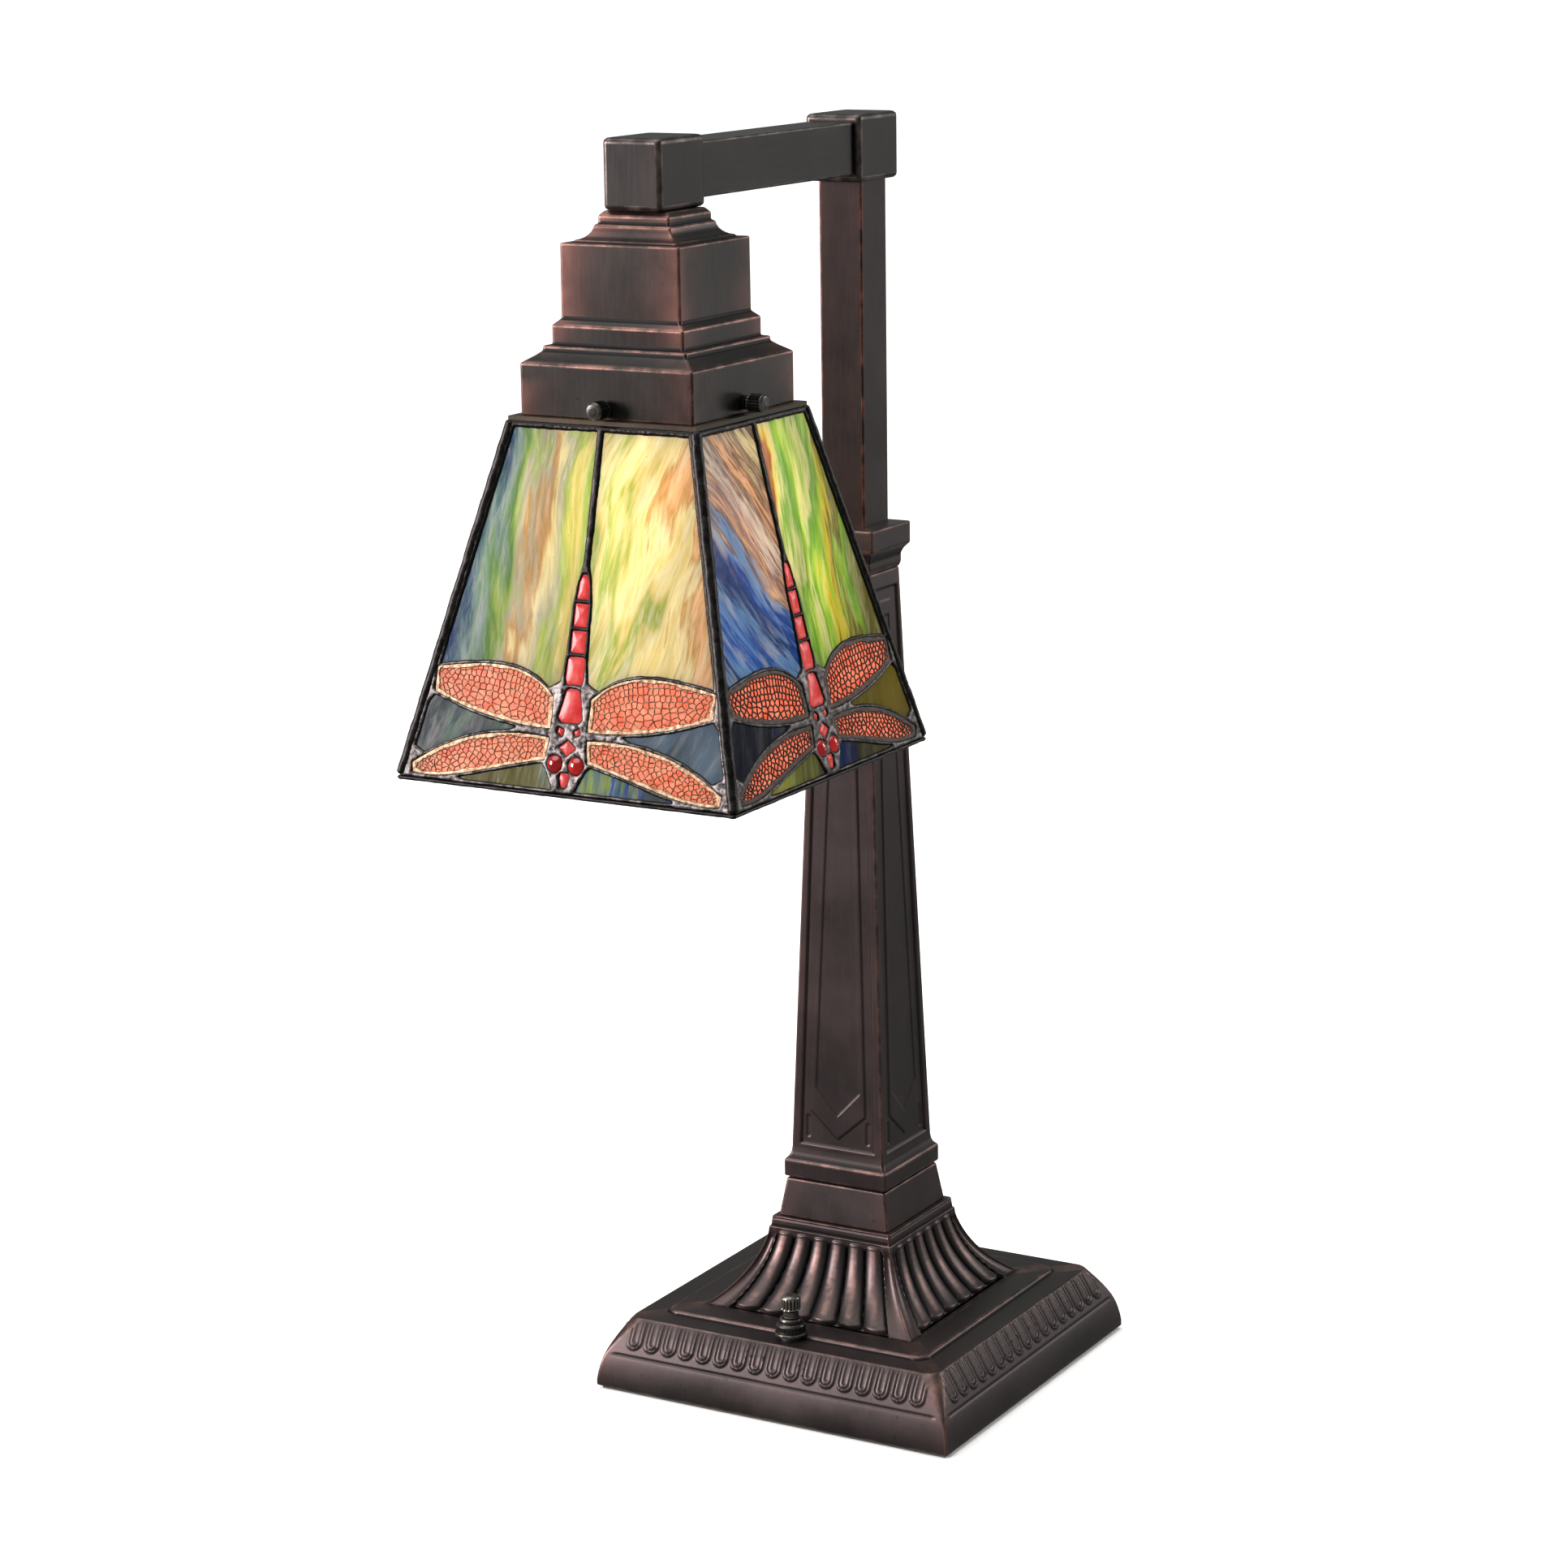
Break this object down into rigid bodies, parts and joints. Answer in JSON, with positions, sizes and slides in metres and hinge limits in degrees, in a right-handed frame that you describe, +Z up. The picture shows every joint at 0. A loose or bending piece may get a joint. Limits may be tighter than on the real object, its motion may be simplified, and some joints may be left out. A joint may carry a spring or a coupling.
{
  "type": "stained glass table lamp",
  "caption": "Square column desk lamp with a side arm, a stepped metal holder and a flared square leaded glass shade with a dragonfly on each face.",
  "frame": {"origin": "centre of the base's underside, where the felt meets the table", "axes": "+Z up; the arm and the shade point along -Y; +X to the right of someone facing the shade"},
  "size_m": [0.16, 0.2969, 0.508],
  "materials": {
    "patina_metal": "satin dark bronze patina with coppery worn edges",
    "arm_metal": "satin dark gunmetal",
    "screw_metal": "darkened knurled metal",
    "knob_metal": "satin",
    "steel": "zinc plated",
    "felt": "matte felt",
    "grommet": "matte",
    "dark_plastic": "matte",
    "connector_plastic": "matte",
    "wire": "matte",
    "brass": "satin",
    "porcelain": "gloss",
    "bulb_glass": "frosted, lit",
    "solder": "dark patina over pewter grey solder",
    "tall_glass": "streaky opalescent",
    "low_glass": "opalescent",
    "wing_glass": "opalescent",
    "body_glass": "gloss",
    "filigree": "dark patina"
  },
  "bodies": {
    "lamp": {"base_casting": "patina_metal", "base_flare": "patina_metal", "column_plinth": "patina_metal", "column_shaft": "patina_metal", "column_cap": "patina_metal", "shade_holder": "patina_metal", "upright_tube": "patina_metal", "elbow_block": "arm_metal", "arm_tube": "arm_metal", "head_block": "arm_metal", "switch_nut": "screw_metal", "base_plate": "steel", "plate_screws": "steel", "tie_pipe": "steel", "pipe_washers": "steel", "pipe_nuts": "steel", "head_nipple": "steel", "base_felt": "felt", "cord_grommet": "grommet", "switch_body": "dark_plastic", "wire_nuts": "connector_plastic", "lamp_wire": "wire", "socket_cap": "brass", "socket_shell": "brass", "shade_collar": "brass", "socket_insulator": "porcelain", "corner_beads": "solder", "bottom_rim": "solder", "solder_front": "solder", "solder_right": "solder", "solder_back": "solder", "solder_left": "solder", "tall_glass_front": "tall_glass", "tall_glass_right": "tall_glass", "tall_glass_back": "tall_glass", "tall_glass_left": "tall_glass", "low_glass_front": "low_glass", "low_glass_right": "low_glass", "low_glass_back": "low_glass", "low_glass_left": "low_glass", "wing_glass_front": "wing_glass", "wing_glass_right": "wing_glass", "wing_glass_back": "wing_glass", "wing_glass_left": "wing_glass", "body_glass_front": "body_glass", "body_glass_right": "body_glass", "body_glass_back": "body_glass", "body_glass_left": "body_glass", "filigree_front": "filigree", "filigree_right": "filigree", "filigree_back": "filigree", "filigree_left": "filigree"},
    "knob": {"switch_knob": "knob_metal"},
    "bulb": {"bulb_base": "brass", "bulb_glass": "bulb_glass"},
    "screw_front": {"thumbscrew_front": "screw_metal"},
    "screw_right": {"thumbscrew_right": "screw_metal"},
    "screw_back": {"thumbscrew_back": "screw_metal"},
    "screw_left": {"thumbscrew_left": "screw_metal"}
  },
  "joints": [
    {"name": "knob_turn", "type": "hinge", "parent": "lamp", "child": "knob", "pos_m": [0, -0.06, 0.04], "axis": [0, 0, 1], "continuous": true},
    {"name": "bulb_turn", "type": "hinge", "parent": "lamp", "child": "bulb", "pos_m": [0, -0.1455, 0.36], "axis": [0, 0, 1], "continuous": true},
    {"name": "screw_front_turn", "type": "hinge", "parent": "lamp", "child": "screw_front", "pos_m": [0, -0.1811, 0.4155], "axis": [0, -1, 0], "continuous": true},
    {"name": "screw_right_turn", "type": "hinge", "parent": "lamp", "child": "screw_right", "pos_m": [0.0356, -0.1455, 0.4155], "axis": [1, 0, 0], "continuous": true},
    {"name": "screw_back_turn", "type": "hinge", "parent": "lamp", "child": "screw_back", "pos_m": [0, -0.1099, 0.4155], "axis": [0, 1, 0], "continuous": true},
    {"name": "screw_left_turn", "type": "hinge", "parent": "lamp", "child": "screw_left", "pos_m": [-0.0356, -0.1455, 0.4155], "axis": [-1, 0, 0], "continuous": true}
  ]
}
